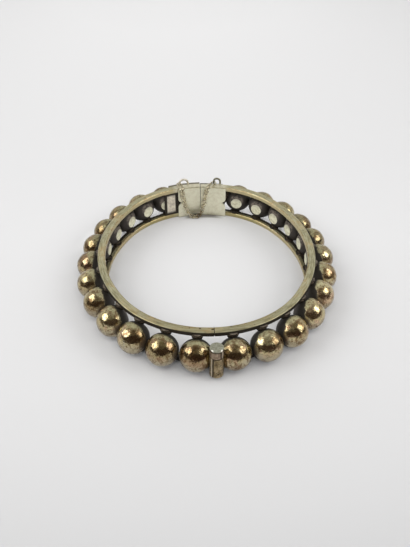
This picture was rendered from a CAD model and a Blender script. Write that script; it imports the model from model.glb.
"""Hinged oval bangle of round beads between flat rails, old worn gilding, lying flat and closed.

Metres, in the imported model's frame: +Z up, the hinge at -Y, the clasp with its safety chain at +Y.
The sizes and tables below are in millimetres, and colours are linear red, green and blue. The two
numbers that close a call of step() are where a mask starts and where it is full.
"""
import math

import bpy
from mathutils import Matrix, Vector


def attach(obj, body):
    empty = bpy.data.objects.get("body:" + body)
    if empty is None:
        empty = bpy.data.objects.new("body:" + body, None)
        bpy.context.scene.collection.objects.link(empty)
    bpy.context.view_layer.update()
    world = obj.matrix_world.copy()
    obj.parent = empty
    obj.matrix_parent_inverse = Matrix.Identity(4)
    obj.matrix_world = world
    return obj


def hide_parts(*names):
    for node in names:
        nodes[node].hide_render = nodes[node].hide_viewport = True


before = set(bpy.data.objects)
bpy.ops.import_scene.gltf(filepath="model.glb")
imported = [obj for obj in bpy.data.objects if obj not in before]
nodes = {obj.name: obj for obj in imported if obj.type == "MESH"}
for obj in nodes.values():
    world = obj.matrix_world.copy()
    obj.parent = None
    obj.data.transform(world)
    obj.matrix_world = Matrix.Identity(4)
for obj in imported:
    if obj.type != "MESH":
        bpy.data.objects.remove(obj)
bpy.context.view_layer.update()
MM = 0.001

# The bangle's own sizes, as in the solids
BAND_H = 9.05
RAIL_W = 1.85
RAIL_T = 1.15
RAIL_ROOF = BAND_H - RAIL_T
INNER_W = 49.0
INNER_L = 58.6
BEAD_R = 3.63
BEAD_Z = 4.3
FLAT_R = 1.65

# The bead row is an oval of four arcs. "Out" is a distance outside it.
ROW_OUT = BEAD_R + 0.045
RAIL_IN_FACE = -ROW_OUT
RAIL_OUT_FACE = RAIL_W - ROW_OUT
ROW_A = INNER_W / 2 + ROW_OUT
ROW_B = INNER_L / 2 + ROW_OUT
END_R = 26.0
END_C = ROW_B - END_R
SIDE_C = (END_C**2 - (ROW_A - END_R) ** 2) / (2 * (ROW_A - END_R))
SIDE_R = ROW_A + SIDE_C
END_TURN = math.atan2(SIDE_C, END_C)
END_LEN = END_R * END_TURN
SIDE_LEN = SIDE_R * (math.pi - 2 * END_TURN)
HALF_LEN = 2 * END_LEN + SIDE_LEN
MID_Y = 1.14695

# Key, name, sign of x, distance of the first bead from the hinge, and spacing
HALVES = (("l", "left", -1, 3.95, 7.45), ("r", "right", 1, 4.3, 7.37))
BEAD_COUNT = 12
# Beads beside the clasp that are turned on from the row, in degrees
TURNED_ON = {"l12": 10, "r12": 10, "r11": 6.5, "r10": 5}

PIN_X = 0.2
PIN_Y = (-ROW_B - 2.07) + MID_Y
KNUCKLE_R = 1.5
HINGE_LOW = 1.2
HINGE_TOP = 8.25
SPLIT = 6.35


def row_place(side, s, out):
    """Point of the bead row at a distance s from the hinge, and its turn, in mm and radians."""
    if s < END_LEN:
        turn, centre, radius = s / END_R, (0, -END_C), END_R
    elif s < END_LEN + SIDE_LEN:
        turn, centre, radius = END_TURN + (s - END_LEN) / SIDE_R, (-SIDE_C, 0), SIDE_R
    else:
        turn, centre, radius = math.pi - (HALF_LEN - s) / END_R, (0, END_C), END_R
    x = centre[0] + (radius + out) * math.sin(turn)
    y = centre[1] - (radius + out) * math.cos(turn)
    return Vector((side * x, y + MID_Y)), side * turn


# Hand tools
def open_mesh():
    bpy.ops.object.mode_set(mode="EDIT")


def close_mesh():
    bpy.ops.object.mode_set(mode="OBJECT")


def deselect():
    if bpy.context.object and bpy.context.object.mode != "OBJECT":
        close_mesh()
    bpy.ops.object.select_all(action="DESELECT")


def pick(piece):
    deselect()
    piece.select_set(True)
    bpy.context.view_layer.objects.active = piece


def settle(piece):
    """Bakes the object's place into its mesh."""
    pick(piece)
    bpy.ops.object.transform_apply(location=True, rotation=True, scale=True)


def copy_of(piece, name):
    new = piece.copy()
    new.data = piece.data.copy()
    new.name = name
    new.data.name = name
    bpy.context.scene.collection.objects.link(new)
    return new


def copy_on_row(piece, name, side, s, out, height, turned=0.0, scale=(1, 1, 1)):
    """A copy set beside the bead row, in mm, and turned with it."""
    new = copy_of(piece, name)
    place, turn = row_place(side, s, out)
    new.location = (place.x * MM, place.y * MM, height * MM)
    new.rotation_euler = (0, 0, turn + turned)
    new.scale = scale
    settle(new)
    return new


def joined(pieces, name):
    deselect()
    for piece in pieces:
        piece.select_set(True)
    bpy.context.view_layer.objects.active = pieces[0]
    bpy.ops.object.join()
    pieces[0].name = name
    pieces[0].data.name = name
    return pieces[0]


def modified(piece, kind, **settings):
    pick(piece)
    bpy.ops.object.modifier_add(type=kind)
    modifier = piece.modifiers[-1]
    for key, value in settings.items():
        setattr(modifier, key, value)
    bpy.ops.object.modifier_apply(modifier=modifier.name)


def roughened(piece, texture, strength, mid_level, **settings):
    """Moves the surface in and out by a cloud texture, with its strength in mm."""
    modified(piece, "DISPLACE", texture=texture, texture_coords="GLOBAL", strength=strength * MM,
             mid_level=mid_level, **settings)


def smooth(piece, angle):
    pick(piece)
    bpy.ops.object.shade_smooth_by_angle(angle=math.radians(angle))


def finish_piece(piece, slot, *materials):
    while len(piece.data.materials) < len(materials):
        piece.data.materials.append(None)
    for i, material in enumerate(materials):
        piece.data.materials[i] = material
    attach(piece, "root")


# Places that carry their own wear: for each, the coordinate, where its mask starts and where it is full.
# Out is the distance outside the bead row, z the height over the floor.
PLACES = {
    # Beads
    "side of the bead towards the wrist": (("out", -1.5, -2.6),),
    "upper edge of the flat": (("z", BEAD_Z + 0.2, BEAD_Z + 1.5),),
    "towards the clasp": (("y", -2.5, 8.5),),
    "along the right side": (("x", 12.0, 20.0), ("y", -1.5, -4.5)),
    "right half, below the crowns": (("x", -5.0, 5.0), ("z", BEAD_Z + 3.2, BEAD_Z + 2.6)),
    # Rails and clasp
    "front": (("y", -18.0, -26.0),),
    "inner face": (("out", RAIL_IN_FACE + 0.18, RAIL_IN_FACE + 0.02),),
    "inner edge": (("out", RAIL_IN_FACE + 0.24, RAIL_IN_FACE + 0.12),
                   ("out", RAIL_IN_FACE, RAIL_IN_FACE + 0.06)),
    "clasp": (("x", 8.2, 6.0), ("x", -8.2, -6.0), ("y", 22.0, 24.0)),
    "lower rail beside the clasp": (("y", 20.0, 26.0), ("z", 2.0, 1.0)),
    "between the rails": (("z", RAIL_T + 0.01, RAIL_T + 0.06), ("z", RAIL_ROOF + 0.06, RAIL_ROOF - 0.02)),
    "top of the lower rail": (("z", RAIL_T + 0.3, RAIL_T + 0.1), ("z", RAIL_T - 0.3, RAIL_T - 0.1)),
    "outer sides": (("out", RAIL_OUT_FACE - 0.17, RAIL_OUT_FACE - 0.07), ("z", BAND_H - 0.06, BAND_H - 0.13)),
    "strip over the box": (("out", -0.8, -1.1), ("y", 24.0, 25.0), ("z", 8.30, 8.36)),
    "rim beside the strip": (("x", 0.0, 0.1), ("x", 2.3, 1.7), ("y", 24.0, 25.0),
                             ("out", RAIL_OUT_FACE - 0.55, RAIL_OUT_FACE - 0.40)),
    "outside of the clasp": (("y", 22.0, 23.0), ("out", -0.6, -0.3), ("z", RAIL_T + 0.1, RAIL_T + 0.9),
                             ("z", RAIL_ROOF - 0.1, RAIL_ROOF - 0.9)),
    "thin grime": (("y", 24.0, 25.0), ("z", 7.9, 8.3)),
    "solder on the seats": (("out", -1.8, -1.72), ("z", 8.35, 8.44), ("y", 25.0, 24.0)),
    "liner plate": (("x", -7.0, -7.15), ("x", -9.45, -9.2), ("y", 20.0, 20.5), ("out", -3.3, -3.4),
                    ("z", 1.6, 2.6), ("z", 7.6, 6.8)),
    "eyes": (("z", BAND_H + 0.02, BAND_H + 0.1),),
    "right half": (("x", -0.5, 0.5),),
    # Hinge
    "upper knuckle": (("z", SPLIT - 0.05, SPLIT + 0.05),),
    "where the knuckles meet": (("z", SPLIT + 0.22, SPLIT + 0.12), ("z", SPLIT - 0.22, SPLIT - 0.12)),
    "under the cap": (("z", HINGE_TOP - 0.28, HINGE_TOP - 0.12),),
    "front of the cap": (("y", PIN_Y - 0.72, PIN_Y - 0.86), ("z", HINGE_TOP, HINGE_TOP + 0.15)),
    # Chain and plates
    "lowest links": (("x", -1.3, -0.9), ("x", 0.5, 0.1), ("z", 2.8, 2.2)),
    "lower edge of the plates": (("z", 0.40, 0.10),),
    "plate under the chain": (("x", -2.6, -2.1), ("x", 0.1, -0.3), ("z", 0.8, 0.5)),
    # Paper
    "under the back beads": (("out", -3.2, -2.2), ("out", 9.5, 1.0), ("y", 12.0, 20.0)),
    "foot of the plates": (("out", -5.7, -5.0), ("out", -3.6, -3.9), ("x", -5.0, -3.0), ("x", 7.0, 3.5),
                           ("y", 10.0, 12.0)),
}

# Noises: cells to the mm, detail, roughness and twist
NOISES = {
    "bead patches": (0.36, 5, 0.62, 1.0),
    "bead copper": (0.30, 4, 0.6, 1.2),
    "bead mottle": (1.15, 6, 0.74, 0.4),
    "bead grain": (3.2, 3, 0.7, 0.3),
    "bead tones": (0.11, 1, 0.5, 0.0),
    "bead creases": (0.9, 5, 0.7, 1.5),
    "bead dents": (0.80, 2, 0.5, 0.4),
    "flat mottle": (1.3, 5, 0.65, 0.0),
    "rail streaks": (1.0, 4, 0.65, 0.0),
    "rail patches": (0.22, 4, 0.6, 0.0),
    "rail mottle": (1.6, 4, 0.65, 0.0),
    "rail dings": (0.8, 3, 0.5, 0.0),
    "knuckle pits": (2.0, 3, 0.6, 0.0),
    "scratches": (1.0, 3, 0.6, 0.0),
}

# Tarnish and wear: a colour, and how far it covers what is under it
LAYERS = {
    "copper": ((0.52, 0.34, 0.22), 0.7),
    "crown": ((0.32, 0.31, 0.18), 0.85),
    "blotch": ((0.15, 0.09, 0.04), 0.8),
    "pale spot": ((0.60, 0.51, 0.33), 0.5),
    "vein": ((0.09, 0.055, 0.028), 0.8),
    "speck": ((0.035, 0.022, 0.014), 0.85),
    "beads' meeting": ((0.055, 0.038, 0.024), 0.9),
    "smudge": ((0.19, 0.16, 0.13), 0.7),
    "dim flat": ((0.36, 0.33, 0.26), 0.5),
    "pale streak": ((0.50, 0.48, 0.33), 0.7),
    "dark streak": ((0.20, 0.17, 0.10), 0.6),
    "brown spot": ((0.12, 0.09, 0.05), 0.7),
    "knuckle pit": ((0.06, 0.04, 0.02), 0.85),
    "bright lip": ((0.62, 0.56, 0.44), 0.7),
    "brown links": ((0.20, 0.14, 0.07), 0.8),
    "dirty edge": ((0.24, 0.21, 0.13), 0.45),
    "plate stain": ((0.07, 0.045, 0.022), 0.9),
    "foot line": ((0.10, 0.09, 0.07), 0.75),
}
# Colours of single places
HUES = {
    "bead grime": (0.020, 0.017, 0.013),
    "bead grime, wrist side": (0.040, 0.034, 0.030),
    "rail grime": (0.020, 0.016, 0.011),
    "thin grime": (0.11, 0.10, 0.07),
    "brown line": (0.26, 0.17, 0.07),
    "nick": (0.09, 0.06, 0.03),
    "seam": (0.03, 0.02, 0.012),
    "left eye": (0.66, 0.62, 0.52),
    "right eye": (0.20, 0.19, 0.13),
    "worn rim": (0.95, 0.92, 0.80),
    "white paper": (0.97, 0.97, 0.97),
}
# Colours that others are multiplied with
TONES = {
    "aged": (0.77, 0.75, 0.71),
    "fresh": (1.16, 1.16, 1.16),
    "front": (0.84, 0.82, 0.78),
    "olive": (0.82, 0.82, 0.70),
}
# Ramps: stops on a noise, each with its colour
RAMPS = {
    "bead gold": ((0.34, (0.30, 0.21, 0.11)), (0.43, (0.50, 0.40, 0.21)), (0.52, (0.57, 0.49, 0.29)),
                  (0.60, (0.48, 0.39, 0.19)), (0.70, (0.44, 0.40, 0.28))),
    "bead tones": ((0.35, (0.62, 0.56, 0.50)), (0.5, (1.0, 1.0, 1.0)), (0.65, (1.12, 1.16, 1.2))),
    "bead belly": ((0.40, (0.29, 0.23, 0.16)), (0.50, (0.43, 0.38, 0.26)), (0.62, (0.46, 0.40, 0.30))),
    "bead flat": ((0.34, (0.46, 0.42, 0.28)), (0.48, (0.67, 0.65, 0.48)), (0.62, (0.75, 0.73, 0.57))),
    "rail gold": ((0.36, (0.25, 0.23, 0.13)), (0.52, (0.32, 0.29, 0.16)), (0.64, (0.40, 0.29, 0.13))),
    "rail face": ((0.38, (0.46, 0.41, 0.23)), (0.6, (0.50, 0.41, 0.24))),
    "clasp": ((0.35, (0.50, 0.46, 0.33)), (0.6, (0.66, 0.63, 0.49))),
    "seat solder": ((0.35, (0.045, 0.035, 0.028)), (0.6, (0.15, 0.125, 0.095))),
    "liner plate": ((0.35, (0.54, 0.48, 0.39)), (0.6, (0.80, 0.74, 0.61))),
    "lower knuckle": ((0.35, (0.14, 0.10, 0.05)), (0.5, (0.25, 0.19, 0.10)), (0.65, (0.40, 0.32, 0.20))),
    "upper knuckle": ((0.35, (0.16, 0.11, 0.07)), (0.5, (0.27, 0.20, 0.14)), (0.65, (0.40, 0.32, 0.23))),
    "studio walls": ((0.0, (0.60, 0.60, 0.60)), (0.50, (0.92, 0.92, 0.92)), (0.64, (0.66, 0.66, 0.66)),
                     (0.85, (0.56, 0.56, 0.56))),
}

# How far the belly's colours cover the gold, and the clasp's pale metal the rails' colour
BELLY_COVERS = 0.75
CLASP_COVERS = 0.9
# Reflection of the tarnished places, which aren't bare metal
DULL_SPECULAR = 0.2
# Streaks run along the rails: how often they change outwards, round the bangle and upwards
STREAKS_OUT, STREAKS_ROUND, STREAKS_UP = 5.5, 9.0, 5.5
# Two nicks in the upper rail beside the hinge
NICKS = ((-2.96, -28.5, BAND_H), (3.59, -28.07, BAND_H))
# Distance of each knuckle's rolled seam from the pin's axis
SEAM_ASIDE = 0.82


class Wiring:
    """Short words for wiring a material."""

    def __init__(self, tree):
        self.tree = tree

    def add(self, kind, **settings):
        node = self.tree.nodes.new(kind)
        for key, value in settings.items():
            setattr(node, key, value)
        return node

    def put(self, value, socket):
        if isinstance(value, bpy.types.NodeSocket):
            self.tree.links.new(value, socket)
        elif isinstance(value, (tuple, list)) and len(value) == 3 and socket.type == "RGBA":
            socket.default_value = (*value, 1)
        else:
            socket.default_value = value

    def read_place(self):
        """Object coordinates in millimetres, whole and split."""
        place = self.add("ShaderNodeTexCoord")
        scale = self.add("ShaderNodeVectorMath", operation="SCALE")
        self.put(place.outputs["Object"], scale.inputs[0])
        scale.inputs["Scale"].default_value = 1 / MM
        split = self.add("ShaderNodeSeparateXYZ")
        self.put(scale.outputs[0], split.inputs[0])
        self.mm = scale.outputs[0]
        self.x, self.y, self.z = split.outputs

    def read_row(self):
        """Distance outside the bead row, and turn round the bangle."""
        node = self.add("ShaderNodeGroup")
        node.node_tree = ROW_GROUP
        self.out, self.turn = node.outputs

    def own(self, name):
        """A number that the mesh carries at its points."""
        return self.add("ShaderNodeAttribute", attribute_name=name).outputs["Fac"]

    def away(self, point):
        """Distance from a point."""
        node = self.add("ShaderNodeVectorMath", operation="DISTANCE")
        self.put(self.mm, node.inputs[0])
        node.inputs[1].default_value = point
        return node.outputs["Value"]

    def shifted(self, amount):
        """The same coordinates, moved so that a noise on them is another one."""
        node = self.add("ShaderNodeVectorMath", operation="ADD")
        self.put(self.mm, node.inputs[0])
        node.inputs[1].default_value = (amount, 0.6 * amount, -0.8 * amount)
        return node.outputs[0]

    def vector(self, x, y, z):
        node = self.add("ShaderNodeCombineXYZ")
        for value, socket in zip((x, y, z), node.inputs):
            self.put(value, socket)
        return node.outputs[0]

    def number(self, operation, *values):
        node = self.add("ShaderNodeMath", operation=operation)
        for value, socket in zip(values, node.inputs):
            self.put(value, socket)
        return node.outputs[0]

    def plus(self, a, b):
        return self.number("ADD", a, b)

    def minus(self, a, b):
        return self.number("SUBTRACT", a, b)

    def size(self, value):
        return self.number("ABSOLUTE", value)

    def length(self, x, y):
        return self.number("SQRT", self.plus(self.product(x, x), self.product(y, y)))

    def product(self, first, *others):
        for other in others:
            first = self.number("MULTIPLY", first, other)
        return first

    def most(self, first, *others):
        for other in others:
            first = self.number("MAXIMUM", first, other)
        return first

    def rest(self, mask):
        """1 where the mask is 0."""
        return self.minus(1.0, mask)

    def step(self, value, start, full):
        """0 at start and before it, 1 at full and past it, eased between them."""
        node = self.add("ShaderNodeMapRange", interpolation_type="SMOOTHSTEP")
        low, high, at_low, at_high = (start, full, 0, 1) if start < full else (full, start, 1, 0)
        for x, socket in zip((value, low, high, at_low, at_high), node.inputs):
            self.put(x, socket)
        return node.outputs[0]

    def place(self, name):
        """Mask of a place from the table."""
        masks = [self.step(getattr(self, way), start, full) for way, start, full in PLACES[name]]
        return self.product(*masks)

    def mix(self, factor, a, b):
        node = self.add("ShaderNodeMix", data_type="FLOAT")
        self.put(factor, node.inputs[0])
        self.put(a, node.inputs[2])
        self.put(b, node.inputs[3])
        return node.outputs[0]

    def colour(self, factor, a, b, blend="MIX"):
        node = self.add("ShaderNodeMix", data_type="RGBA", blend_type=blend)
        self.put(factor, node.inputs[0])
        self.put(a, node.inputs[6])
        self.put(b, node.inputs[7])
        return node.outputs[2]

    def over(self, colour, layer, mask):
        """Lays a layer from the table over a colour, as far as the mask says."""
        new, covers = LAYERS[layer]
        return self.colour(self.product(mask, covers), colour, new)

    def toned(self, colour, tone, mask):
        return self.colour(mask, colour, tone, "MULTIPLY")

    def ramp(self, factor, stops):
        node = self.add("ShaderNodeValToRGB")
        points = node.color_ramp.elements
        while len(points) < len(stops):
            points.new(0.5)
        for point, (place, colour) in zip(points, stops):
            point.position = place
            point.color = (*colour, 1)
        self.put(factor, node.inputs[0])
        return node.outputs[0]

    def cloud(self, vector, scale, detail, rough, twist):
        node = self.add("ShaderNodeTexNoise")
        self.put(vector, node.inputs["Vector"])
        node.inputs["Scale"].default_value = scale
        node.inputs["Detail"].default_value = detail
        node.inputs["Roughness"].default_value = rough
        node.inputs["Distortion"].default_value = twist
        return node.outputs[0]

    def noise(self, name, vector=None):
        """A noise from the table, on the object's coordinates or on others."""
        return self.cloud(vector or self.mm, *NOISES[name])

    def cells(self, scale):
        node = self.add("ShaderNodeTexVoronoi")
        self.put(self.mm, node.inputs["Vector"])
        node.inputs["Scale"].default_value = scale
        return node.outputs[0]

    def bump(self, height, depth, strength, normal=None):
        """A bump as deep as depth says, in mm, over another one."""
        node = self.add("ShaderNodeBump")
        node.inputs["Strength"].default_value = strength
        node.inputs["Distance"].default_value = depth * MM
        self.put(height, node.inputs["Height"])
        if normal is not None:
            self.put(normal, node.inputs["Normal"])
        return node.outputs[0]


def make_row_group():
    """Where a point lies against the four-arc row: the distance outside it, and its turn."""
    tree = bpy.data.node_groups.new("place on the bead row", "ShaderNodeTree")
    for name in ("Out", "Turn"):
        tree.interface.new_socket(name, in_out="OUTPUT", socket_type="NodeSocketFloat")
    w = Wiring(tree)
    w.read_place()
    x = w.size(w.x)
    y_mid = w.minus(w.y, MID_Y)
    y_far = w.size(y_mid)
    side = w.minus(w.length(w.plus(x, SIDE_C), y_far), SIDE_R)
    end = w.minus(w.length(x, w.minus(y_far, END_C)), END_R)
    at_end = w.number("LESS_THAN", w.product(x, END_C), w.product(w.minus(y_far, END_C), SIDE_C))
    outputs = w.add("NodeGroupOutput").inputs
    w.put(w.mix(at_end, side, end), outputs[0])
    w.put(w.number("ARCTAN2", x, y_mid), outputs[1])
    return tree


ROW_GROUP = make_row_group()


def new_material(name):
    material = bpy.data.materials.new(name)
    material.use_nodes = True
    shader = material.node_tree.nodes["Principled BSDF"]
    shader.inputs["Metallic"].default_value = 1.0
    w = Wiring(material.node_tree)
    w.read_place()
    return material, w, shader.inputs


def bead_gilding():
    """Gold worn to olive on top, with copper and brown tarnish and fine dark specks."""
    material, w, inputs = new_material("old gilding on the beads")
    w.read_row()
    patches = w.noise("bead patches")
    coppery = w.noise("bead copper", w.shifted(31.0))
    mottle = w.noise("bead mottle")
    grain = w.noise("bead grain")
    colour = w.ramp(patches, RAMPS["bead gold"])
    colour = w.over(colour, "copper", w.step(coppery, 0.54, 0.62))
    # Each bead a little lighter or darker than its neighbours
    colour = w.toned(colour, w.ramp(w.noise("bead tones", w.shifted(11.0)), RAMPS["bead tones"]), 1.0)
    # Pinkish grey belly, and an olive crown that leans to the wrist
    belly = w.step(w.plus(w.z, w.product(coppery, 3.0)), BEAD_Z + 2.8, BEAD_Z + 1.2)
    colour = w.colour(w.product(belly, BELLY_COVERS), colour, w.ramp(patches, RAMPS["bead belly"]))
    lean = w.minus(w.z, w.product(w.out, 0.9))
    crown = w.step(w.plus(lean, w.product(mottle, 2.0)), BEAD_Z + 3.3, BEAD_Z + 4.4)
    colour = w.over(colour, "crown", crown)
    # Brown blotches, pale spots and dark veins, then fine specks
    blotch = w.step(w.plus(mottle, w.product(patches, 0.5)), 0.74, 0.66)
    colour = w.over(colour, "blotch", blotch)
    colour = w.over(colour, "pale spot", w.step(mottle, 0.58, 0.68))
    crease = w.size(w.minus(w.noise("bead creases", w.shifted(57.0)), 0.5))
    veins = w.product(w.step(crease, 0.034, 0.008), w.step(coppery, 0.38, 0.48))
    colour = w.over(colour, "vein", veins)
    specks = w.product(w.step(w.cells(1.6), 0.24, 0.10), w.step(grain, 0.46, 0.56))
    colour = w.over(colour, "speck", specks)
    # Duller towards the clasp, and less tarnished along the right side
    colour = w.toned(colour, TONES["aged"], w.place("towards the clasp"))
    colour = w.toned(colour, TONES["fresh"], w.place("along the right side"))
    # Brown where two beads meet
    meeting = w.step(w.plus(w.own("beside"), w.product(mottle, 0.2)), 0.93, 1.06)
    colour = w.over(colour, "beads' meeting", meeting)
    # Black towards the wrist, further out on the right, with a grey smudge above the flat
    reach = w.plus(w.out, w.product(w.minus(w.z, BEAD_Z + 1.5), 0.3))
    reach = w.minus(reach, w.product(w.place("right half, below the crowns"), 0.6))
    grime = w.step(w.plus(reach, w.product(mottle, 1.4)), 0.80, 0.25)
    wrist_side = w.place("side of the bead towards the wrist")
    black = w.colour(wrist_side, HUES["bead grime"], HUES["bead grime, wrist side"])
    smudge = w.product(w.step(w.own("above_flat"), 2.15, 1.5), w.step(mottle, 0.40, 0.56))
    black = w.over(black, "smudge", smudge)
    w.put(w.colour(grime, colour, black), inputs["Base Color"])
    # Bare gold shines, tarnish is matt
    dull = w.most(w.product(crown, 0.8), w.product(blotch, 0.6))
    rough = w.mix(dull, w.mix(w.step(mottle, 0.62, 0.4), 0.09, 0.19), 0.38)
    w.put(w.mix(grime, rough, 0.6), inputs["Roughness"])
    covered = w.most(grime, w.product(meeting, 0.7), w.product(crown, 0.5))
    w.put(w.rest(covered), inputs["Metallic"])
    inputs["Specular IOR Level"].default_value = DULL_SPECULAR
    dents = w.bump(w.noise("bead dents"), 0.20, 0.5)
    w.put(w.bump(w.plus(grain, w.product(mottle, 0.8)), 0.03, 0.5, dents), inputs["Normal"])
    return material


def bead_flat():
    """Pale and matt, dimmer at its upper edge."""
    material, w, inputs = new_material("pale worn flats of the beads")
    mottle = w.noise("flat mottle")
    colour = w.over(w.ramp(mottle, RAMPS["bead flat"]), "dim flat", w.place("upper edge of the flat"))
    w.put(colour, inputs["Base Color"])
    inputs["Metallic"].default_value = 0.35
    inputs["Roughness"].default_value = 0.55
    w.put(w.bump(mottle, 0.04, 0.5), inputs["Normal"])
    return material


def clasp_wear(w, colour, patches, mottle):
    """Beige inner faces, paler metal over the clasp, and a brown line along the rails' inner edge."""
    colour = w.colour(w.place("inner face"), colour, w.ramp(patches, RAMPS["rail face"]))
    clasp = w.place("clasp")
    colour = w.colour(w.product(clasp, CLASP_COVERS), colour, w.ramp(mottle, RAMPS["clasp"]))
    colour = w.toned(colour, TONES["olive"], w.place("lower rail beside the clasp"))
    line = w.product(w.place("inner edge"), w.rest(clasp), w.step(mottle, 0.6, 0.4))
    return w.colour(line, colour, HUES["brown line"])


def rail_grime(w, mottle):
    """Mask of the black grime between the rails and on their outer sides, which leaves the clasp clean."""
    edge = w.step(w.plus(w.out, w.product(mottle, 0.5)), -2.75, -2.5)
    on_low_rail = w.product(w.place("top of the lower rail"), edge)
    outer = w.product(w.place("outer sides"), w.rest(w.place("strip over the box")))
    grime = w.most(w.place("between the rails"), on_low_rail, outer, w.place("rim beside the strip"))
    return w.product(grime, w.rest(w.place("outside of the clasp")))


def knuckle_tarnish(w, mottle):
    """Mask, colour and pits of the knuckles: pinkish above, pitted below, each with its rolled seam."""
    dx = w.minus(w.x, PIN_X)
    dy = w.minus(w.y, PIN_Y)
    knuckle = w.step(w.length(dx, dy), KNUCKLE_R + 0.2, KNUCKLE_R + 0.06)
    upper = w.place("upper knuckle")
    pits = w.product(w.step(w.noise("knuckle pits"), 0.45, 0.36), w.mix(upper, 1.0, 0.35))
    colour = w.colour(upper, w.ramp(mottle, RAMPS["lower knuckle"]), w.ramp(mottle, RAMPS["upper knuckle"]))
    colour = w.over(colour, "knuckle pit", pits)
    # Dark seams, left below and right above, and dark rims
    aside = w.size(w.minus(w.x, w.mix(upper, PIN_X - SEAM_ASIDE, PIN_X + SEAM_ASIDE)))
    seam = w.product(w.step(aside, 0.17, 0.09), w.step(dy, -0.3, -0.5))
    rims = w.most(w.place("where the knuckles meet"), w.place("under the cap"))
    colour = w.colour(w.most(seam, w.product(rims, 0.75)), colour, HUES["seam"])
    # A bright lip on the outer side of each seam
    outside = w.step(w.product(dx, w.mix(upper, -1.0, 1.0)), SEAM_ASIDE, SEAM_ASIDE + 0.08)
    lip = w.product(w.step(aside, 0.42, 0.30), w.step(aside, 0.17, 0.22), outside)
    return knuckle, w.over(colour, "bright lip", lip), pits


def rail_gilding():
    """Green-gold streaks along the rails, and the wear, grime and solder of the frames."""
    material, w, inputs = new_material("worn gilding on the rails")
    w.read_row()
    streak_place = w.vector(w.product(w.out, STREAKS_OUT), w.product(w.turn, STREAKS_ROUND),
                            w.product(w.z, STREAKS_UP))
    streaks = w.noise("rail streaks", streak_place)
    patches = w.noise("rail patches")
    mottle = w.noise("rail mottle")
    colour = w.ramp(patches, RAMPS["rail gold"])
    colour = w.over(colour, "pale streak", w.step(streaks, 0.44, 0.60))
    colour = w.over(colour, "dark streak", w.step(streaks, 0.44, 0.34))
    colour = w.over(colour, "brown spot", w.step(mottle, 0.42, 0.30))
    colour = w.toned(colour, TONES["front"], w.place("front"))
    colour = clasp_wear(w, colour, patches, mottle)
    grime = rail_grime(w, mottle)
    colour = w.colour(grime, colour, w.colour(w.place("thin grime"), HUES["rail grime"], HUES["thin grime"]))
    for nick in NICKS:
        colour = w.colour(w.step(w.away(nick), 0.34, 0.12), colour, HUES["nick"])
    colour = w.colour(w.place("solder on the seats"), colour, w.ramp(mottle, RAMPS["seat solder"]))
    liner = w.place("liner plate")
    colour = w.colour(liner, colour, w.ramp(mottle, RAMPS["liner plate"]))
    knuckle, knuckle_colour, pits = knuckle_tarnish(w, mottle)
    colour = w.colour(knuckle, colour, knuckle_colour)
    # Eyes of the chain: pale wire on the left, dark on the right
    wire = w.colour(w.place("right half"), HUES["left eye"], HUES["right eye"])
    colour = w.colour(w.place("eyes"), colour, wire)
    w.put(colour, inputs["Base Color"])
    rough = w.mix(grime, w.mix(w.step(streaks, 0.35, 0.65), 0.28, 0.42), 0.5)
    w.put(w.mix(knuckle, rough, 0.42), inputs["Roughness"])
    clean = w.most(knuckle, liner, w.rest(grime))
    w.put(w.product(clean, 0.7), inputs["Metallic"])
    inputs["Specular IOR Level"].default_value = DULL_SPECULAR
    lines = w.bump(streaks, 0.03, 0.6)
    dings = w.bump(w.noise("rail dings"), 0.06, 0.4, lines)
    w.put(w.bump(w.product(pits, knuckle, -1.0), 0.10, 0.8, dings), inputs["Normal"])
    return material


def pale_metal(name, light, dark, rough, scale=1.1, depth=0.03, stain=None):
    """Satin metal with upright scratches, between a light and a dark colour."""
    material, w, inputs = new_material(name)
    patches = w.cloud(w.mm, scale, 4, 0.6, 0.0)
    stretched = w.add("ShaderNodeMapping")
    w.put(w.mm, stretched.inputs["Vector"])
    stretched.inputs["Scale"].default_value = (7, 7, 0.7)
    scratches = w.noise("scratches", stretched.outputs[0])
    colour = w.ramp(patches, ((0.3, dark), (0.6, light)))
    colour = w.colour(w.product(w.step(scratches, 0.5, 0.7), 0.35), colour, light)
    if stain:
        colour = stain(w, colour)
    w.put(colour, inputs["Base Color"])
    w.put(w.mix(patches, rough - 0.08, rough + 0.12), inputs["Roughness"])
    w.put(w.bump(scratches, depth, 0.5), inputs["Normal"])
    return material


def worn_rim(w, colour):
    """Two worn spots on the front rim of the pin's cap, one on each side."""
    aside = w.size(w.minus(w.x, PIN_X))
    spots = w.product(w.place("front of the cap"), w.step(aside, 0.70, 0.84))
    return w.colour(spots, colour, HUES["worn rim"])


def brown_bottom(w, colour):
    return w.over(colour, "brown links", w.place("lowest links"))


def dirty_plates(w, colour):
    """Dark line along the lower edge of the plates, with a brown stain under the chain."""
    colour = w.over(colour, "dirty edge", w.place("lower edge of the plates"))
    return w.over(colour, "plate stain", w.place("plate under the chain"))


beads_gilt = bead_gilding()
rails_gilt = rail_gilding()
flats_pale = bead_flat()
plate_satin = pale_metal("pale satin plates", light=(0.96, 0.94, 0.76), dark=(0.83, 0.79, 0.60),
                         rough=0.50, stain=dirty_plates)
hinge_grey = pale_metal("grey-green hinge pin", light=(0.47, 0.47, 0.36), dark=(0.24, 0.23, 0.17),
                        rough=0.32, scale=2.6, stain=worn_rim)
tongue_plain = pale_metal("plain tongue", light=(0.55, 0.51, 0.40), dark=(0.40, 0.36, 0.27), rough=0.4)
chain_pale = pale_metal("pale chain wire", light=(0.80, 0.74, 0.56), dark=(0.30, 0.25, 0.16),
                        rough=0.22, scale=2.4, stain=brown_bottom)
solder_dull = pale_metal("dull solder", light=(0.15, 0.12, 0.09), dark=(0.05, 0.04, 0.03),
                         rough=0.5, scale=1.4, depth=0.08)

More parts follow.
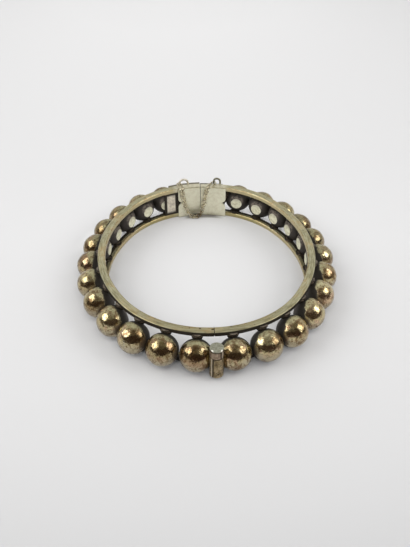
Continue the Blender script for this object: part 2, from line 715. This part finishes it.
for node, material in {
    "left_frame": rails_gilt, "right_frame": rails_gilt, "left_cover_plate": plate_satin,
    "right_cover_plate": plate_satin, "hinge_pin": hinge_grey, "clasp_tongue": tongue_plain,
    "safety_chain": chain_pale,
}.items():
    nodes[node].data.materials.clear()
    nodes[node].data.materials.append(material)

# Clouds that move surfaces: shallow hammering on the beads, lumps on wire and solder
hammered = bpy.data.textures.new("hammered", "CLOUDS")
hammered.noise_scale = 1.7 * MM
hammered.noise_depth = 1
lumpy = bpy.data.textures.new("lumpy", "CLOUDS")
lumpy.noise_scale = 0.7 * MM
lumpy.noise_depth = 2


# Beads: widths of the rings that make a flat shade evenly
FLAT_RINGS = (0.12, 0.45, 0.45, 0.4)
# Height of the grey smudge's middle over that of the flat
SMUDGE_UP = 0.8


def give_points(mesh, name, number_at):
    """Gives each point of a mesh a number of its own."""
    numbers = mesh.attributes.new(name, "FLOAT", "POINT")
    for point, number in zip(mesh.vertices, numbers.data):
        number.value = number_at(point.co)


def first_bead():
    """A round bead with its worn flat towards +Y, on the origin."""
    deselect()
    bpy.ops.mesh.primitive_uv_sphere_add(segments=72, ring_count=44, radius=BEAD_R * MM,
                                         rotation=(math.pi / 2, 0, 0))
    bead = bpy.context.object
    bead.name = "bead"
    settle(bead)
    flat = math.sqrt(BEAD_R**2 - FLAT_R**2) * MM
    open_mesh()
    bpy.ops.mesh.select_all(action="SELECT")
    bpy.ops.mesh.bisect(plane_co=(0, flat, 0), plane_no=(0, 1, 0), clear_outer=True)
    # The two rings beside the plane both count as on it, and the bisect's own fill would double the strip
    # between them. One face closes the inner ring instead, and the strip stays a crisp rim.
    bpy.ops.mesh.edge_face_add()
    bpy.ops.mesh.mark_sharp()
    bpy.ops.mesh.select_all(action="DESELECT")
    close_mesh()
    # The flat takes the second material
    for face in bead.data.polygons:
        face.select = False
    largest = max(bead.data.polygons, key=lambda face: face.area)
    largest.material_index = 1
    largest.select = True
    open_mesh()
    bpy.ops.mesh.select_mode(type="FACE")
    for width in FLAT_RINGS:
        bpy.ops.mesh.inset(thickness=width * MM)
    close_mesh()
    # How near each point is to the neighbouring beads, and its distance in mm from the smudge
    smudge = Vector((0, flat, SMUDGE_UP * MM))
    give_points(bead.data, "beside", lambda place: abs(place.x) / (BEAD_R * MM))
    give_points(bead.data, "above_flat", lambda place: (place - smudge).length / MM)
    return bead


def round_the_pin(radius, low, high):
    """An upright cylinder on the pin's axis."""
    deselect()
    place = (PIN_X * MM, PIN_Y * MM, (low + high) / 2 * MM)
    bpy.ops.mesh.primitive_cylinder_add(vertices=64, radius=radius * MM, depth=(high - low) * MM,
                                        location=place)
    cylinder = bpy.context.object
    settle(cylinder)
    return cylinder


pattern = first_bead()
# The first bead of each half leaves room for the knuckles
barrel = round_the_pin(KNUCKLE_R + 0.1, -BAND_H / 2, 1.5 * BAND_H)
for key, name, side, first, pitch in HALVES:
    for i in range(BEAD_COUNT):
        number = f"{i + 1:02d}"
        turned = side * math.radians(TURNED_ON.get(key + number, 0))
        bead = copy_on_row(pattern, f"{name}_bead_{number}", side, first + i * pitch, 0.0, BEAD_Z, turned)
        roughened(bead, hammered, 0.10, 0.8)
        if i == 0:
            modified(bead, "BOOLEAN", object=barrel, operation="DIFFERENCE", solver="EXACT")
        smooth(bead, 35)
        finish_piece(bead, "bead_gilt", beads_gilt, flats_pale)
        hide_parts(f"bead_{key}{number}")
for spare in (pattern, barrel):
    bpy.data.objects.remove(spare)


# Solder: radii of a lump, how far out the lumps on the seats lie, and their heights
LUMP_SIZE = (1.42, 1.15, 0.55)
LUMP_OUT = -2.45
LUMP_HEIGHTS = (RAIL_T + 0.15, BAND_H - RAIL_T)
# Lumps that fill the corner beside the right plate: distance from the clasp's seam, height and width
CORNER_LUMPS = ((8.45, 6.9, 0.5), (8.2, 6.0, 0.45), (8.0, 5.1, 0.4), (7.65, 4.3, 0.38), (7.2, 3.6, 0.38))
CORNER_OUT = -2.7
CORNER_DEEP = 0.65
CORNER_TALL = 1.4


def solder_mound():
    """A low lump of solder on the origin."""
    deselect()
    bpy.ops.mesh.primitive_uv_sphere_add(segments=28, ring_count=14, radius=1 * MM)
    mound = bpy.context.object
    mound.scale = LUMP_SIZE
    settle(mound)
    return mound


pattern = solder_mound()
for key, name, side, first, pitch in HALVES:
    lumps = [copy_on_row(pattern, f"solder {key} {i} {height:.0f}", side, first + i * pitch, LUMP_OUT, height)
             for i in range(BEAD_COUNT) for height in LUMP_HEIGHTS]
    if side > 0:
        lumps += [copy_on_row(pattern, f"solder corner {height:.0f}", side, HALF_LEN - along, CORNER_OUT,
                              height, scale=(wide, CORNER_DEEP, CORNER_TALL))
                  for along, height, wide in CORNER_LUMPS]
    solder = joined(lumps, f"{name}_solder")
    roughened(solder, lumpy, 0.3, 0.5)
    smooth(solder, 60)
    finish_piece(solder, "rail_gilt", solder_dull)
bpy.data.objects.remove(pattern)


# Packed dirt in the hinge seam: width, then ends along Y from the rail's inner face, then heights
DIRT_W = 0.15
DIRT_BACK, DIRT_FRONT = -0.04, -1.50
DIRT_LOW, DIRT_TOP = 7.95, 8.98


def seam_dirt():
    """Packed dirt in the hinge seam of the upper rail, open along the rail's outer edge."""
    inner_y = MID_Y - ROW_B + ROW_OUT
    back, front = inner_y + DIRT_BACK, inner_y + DIRT_FRONT
    deselect()
    place = (0, (back + front) / 2 * MM, (DIRT_LOW + DIRT_TOP) / 2 * MM)
    bpy.ops.mesh.primitive_cube_add(size=1, location=place)
    dirt = bpy.context.object
    dirt.name = "seam_dirt"
    dirt.scale = (DIRT_W * MM, (back - front) * MM, (DIRT_TOP - DIRT_LOW) * MM)
    settle(dirt)
    open_mesh()
    bpy.ops.mesh.select_all(action="SELECT")
    bpy.ops.mesh.subdivide(number_cuts=6)
    close_mesh()
    roughened(dirt, lumpy, 0.12, 0.6, direction="Z")
    smooth(dirt, 40)
    finish_piece(dirt, "rail_gilt", solder_dull)


seam_dirt()

# Hinge pin: radius, bottom, top and rounding of its cap, foot and shaft
PIN_DISCS = (
    (1.48, HINGE_TOP + 0.06, HINGE_TOP + 0.38, 0.09),
    (1.1, HINGE_LOW - 0.28, HINGE_LOW - 0.06, 0.06),
    (0.45, HINGE_LOW - 0.16, HINGE_TOP + 0.16, 0.02),
)
# Flat rim of a disc, and the slope and depth of its sunk top
DISC_RIM = 0.18
DISC_SLOPE = 0.25
DISC_SUNK = 0.04


def turned_disc(radius, low, high, bevel):
    """A round disc over the pin's axis with rounded edges and a slightly sunk top."""
    disc = round_the_pin(radius, low, high)
    # Both rims are rounded, then the top is sunk
    open_mesh()
    bpy.ops.mesh.select_mode(type="EDGE")
    bpy.ops.mesh.select_all(action="DESELECT")
    close_mesh()
    points = disc.data.vertices
    for edge in disc.data.edges:
        a, b = edge.vertices
        edge.select = abs(points[a].co.z - points[b].co.z) < 0.001 * MM
    open_mesh()
    bpy.ops.mesh.bevel(offset=bevel * MM, segments=3, affect="EDGES")
    bpy.ops.mesh.select_mode(type="FACE")
    bpy.ops.mesh.select_all(action="DESELECT")
    close_mesh()
    for face in disc.data.polygons:
        face.select = face.normal.z > 0.99 and face.center.z > (high - 0.01) * MM
    open_mesh()
    bpy.ops.mesh.inset(thickness=DISC_RIM * MM)
    bpy.ops.mesh.inset(thickness=DISC_SLOPE * MM, depth=-DISC_SUNK * MM)
    close_mesh()
    return disc


pin = joined([turned_disc(*disc) for disc in PIN_DISCS], "worn_hinge_pin")
roughened(pin, lumpy, 0.05, 0.6)
smooth(pin, 50)
finish_piece(pin, "hinge_metal", hinge_grey)
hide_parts("hinge_pin")

# Chain: the links of the solid, a little thicker and uneven
chain = copy_of(nodes["safety_chain"], "worn_chain")
pick(chain)
open_mesh()
bpy.ops.mesh.select_all(action="SELECT")
bpy.ops.mesh.remove_doubles(threshold=0.005 * MM)
close_mesh()
modified(chain, "DISPLACE", strength=0.045 * MM, mid_level=0.0)
roughened(chain, lumpy, 0.10, 0.6)
smooth(chain, 60)
finish_piece(chain, "chain_metal", chain_pale)
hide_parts("safety_chain")

# Floor: paper that darkens with the distance from a point behind the bangle, as a share of FADE_LEN
FADE_FROM = (0, 250, 0)
FADE_LEN = 400.0
PAPER_BLUE = 1.008
PAPER_SHADES = (
    (0.0, 0.717), (0.15, 0.704), (0.30, 0.656), (0.40, 0.624), (0.50, 0.595), (0.60, 0.574),
    (0.66, 0.544), (0.72, 0.518), (0.76, 0.487), (0.79, 0.455), (0.82, 0.412))


def pale_paper():
    material, w, inputs = new_material("pale paper")
    w.read_row()
    fall = w.number("DIVIDE", w.away(FADE_FROM), FADE_LEN)
    shade = w.ramp(fall, [(place, (value, value, value * PAPER_BLUE)) for place, value in PAPER_SHADES])
    # Whiter under the back beads, where the gilding throws light down
    under = w.place("under the back beads")
    shade = w.colour(under, shade, HUES["white paper"])
    # The dark line where the plates stand on it
    w.put(w.over(shade, "foot line", w.place("foot of the plates")), inputs["Base Color"])
    w.put(w.colour(under, (0, 0, 0), (1, 1, 1)), inputs["Emission Color"])
    inputs["Emission Strength"].default_value = 0.12
    inputs["Metallic"].default_value = 0.0
    inputs["Roughness"].default_value = 0.7
    return material


deselect()
bpy.ops.mesh.primitive_plane_add(size=6)
floor = bpy.context.object
floor.name = "floor"
floor.data.materials.append(pale_paper())

# Lights: name, way from the bangle, distance and size in metres, watts, and whether they are mirrored
LIGHTS = (
    ("panel on the left", (-0.72, -0.08, 0.66), 0.80, (0.57, 0.48), 3.15, True),
    ("panel on the right", (0.74, -0.15, 0.62), 0.80, (0.50, 0.48), 2.4, True),
    ("light over the front", (0, -0.25, 0.35), 0.43, (0.30, 0.30), 1.0, False),
    ("low light over the front", (0, -0.40, 0.25), 0.47, (0.50, 0.20), 0.5, False),
    ("low light behind", (0, 0.45, 0.20), 0.49, (0.50, 0.16), 0.25, False),
)


def soft_light(name, way, distance, size, power, mirrored):
    """A soft panel, long and high, that shines at the bangle from one way."""
    place = Vector(way).normalized() * distance
    light = bpy.data.lights.new(name, "AREA")
    light.shape = "RECTANGLE"
    light.size, light.size_y = size
    light.energy = power
    lamp = bpy.data.objects.new(name, light)
    lamp.location = place
    lamp.rotation_euler = place.to_track_quat("Z", "Y").to_euler()
    lamp.visible_glossy = mirrored
    bpy.context.scene.collection.objects.link(lamp)


for light in LIGHTS:
    soft_light(*light)

# The studio round it
CEILING = (0.31, 0.30, 0.27)
LOW_BEHIND_CAMERA = (0.11, 0.09, 0.075)
OPENING = (0.078, 0.056, 0.047)


def studio():
    world = bpy.data.worlds.new("studio")
    bpy.context.scene.world = world
    world.use_nodes = True
    w = Wiring(world.node_tree)
    split = w.add("ShaderNodeSeparateXYZ")
    w.put(w.add("ShaderNodeTexCoord").outputs["Generated"], split.inputs[0])
    way_x, way_y, way_z = split.outputs
    # Pale walls, a dimmer ceiling over the front, and the dark opening that the camera looks through
    front = w.step(way_y, 0.35, 0.05)
    ceiling = w.product(front, w.step(w.size(way_x), 0.6, 0.35))
    room = w.colour(ceiling, w.ramp(way_z, RAMPS["studio walls"]), CEILING)
    room = w.colour(w.product(front, w.step(way_z, 0.5, 0.35)), room, LOW_BEHIND_CAMERA)
    opening = w.product(w.step(w.product(way_y, -1.0), 0.36, 0.56), w.step(way_z, 0.84, 0.72))
    room = w.colour(opening, room, OPENING)
    background = world.node_tree.nodes["Background"].inputs
    w.put(room, background["Color"])
    background["Strength"].default_value = 1.0


studio()

# Camera, from the fit to the beads: looks down at EL, turned by TURN, shifted across and up
EL = math.radians(37.184)
TURN = math.radians(3.126)
DISTANCE = 168.816
SHIFT_X, SHIFT_Y = 0.2887, 2.6977
LENS_PX = 680.0
PICTURE_PX = 547
SENSOR = 36
right = Vector((1, 0, 0))
forward = Vector((0, math.cos(EL), -math.sin(EL)))
up = right.cross(forward)
turned = Matrix.Rotation(-TURN, 3, "Z")
eye = turned @ (-SHIFT_X * right - SHIFT_Y * up - DISTANCE * forward)
lens = bpy.data.cameras.new("camera")
lens.sensor_width = SENSOR
lens.lens = LENS_PX / PICTURE_PX * SENSOR
lens.clip_start = 0.01
camera = bpy.data.objects.new("camera", lens)
basis = Matrix((turned @ right, turned @ up, -(turned @ forward))).transposed()
camera.matrix_world = Matrix.Translation((eye + Vector((0, MID_Y, BEAD_Z))) * MM) @ basis.to_4x4()
bpy.context.scene.collection.objects.link(camera)
bpy.context.scene.camera = camera
bpy.context.scene.view_settings.view_transform = "Standard"
